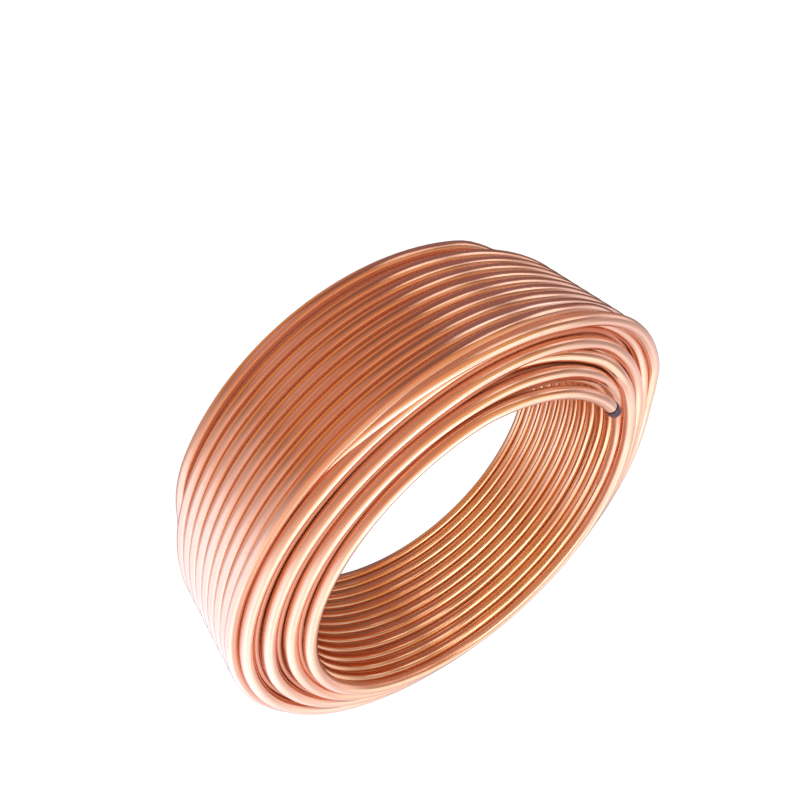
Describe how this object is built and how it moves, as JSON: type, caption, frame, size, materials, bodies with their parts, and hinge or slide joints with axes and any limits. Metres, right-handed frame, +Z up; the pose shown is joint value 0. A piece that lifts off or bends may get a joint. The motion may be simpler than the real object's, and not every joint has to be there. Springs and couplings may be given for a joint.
{
  "type": "copper tube coil",
  "caption": "Level-wound coil of soft copper tube with an open bore, its free end plugged, standing on its flat end.",
  "frame": {"origin": "on the floor, under the middle of the coil", "axes": "+Z up along the coil's axis, towards the end where the tube's free end is; -Y to the side that the picture's camera is on; +X to the right seen from there"},
  "size_m": [0.4, 0.4, 0.1349],
  "materials": {
    "copper": "bright drawn copper",
    "plug_plastic": "glossy black"
  },
  "bodies": {
    "root": {"tube_coil": "copper", "end_plug": "plug_plastic"}
  },
  "joints": []
}
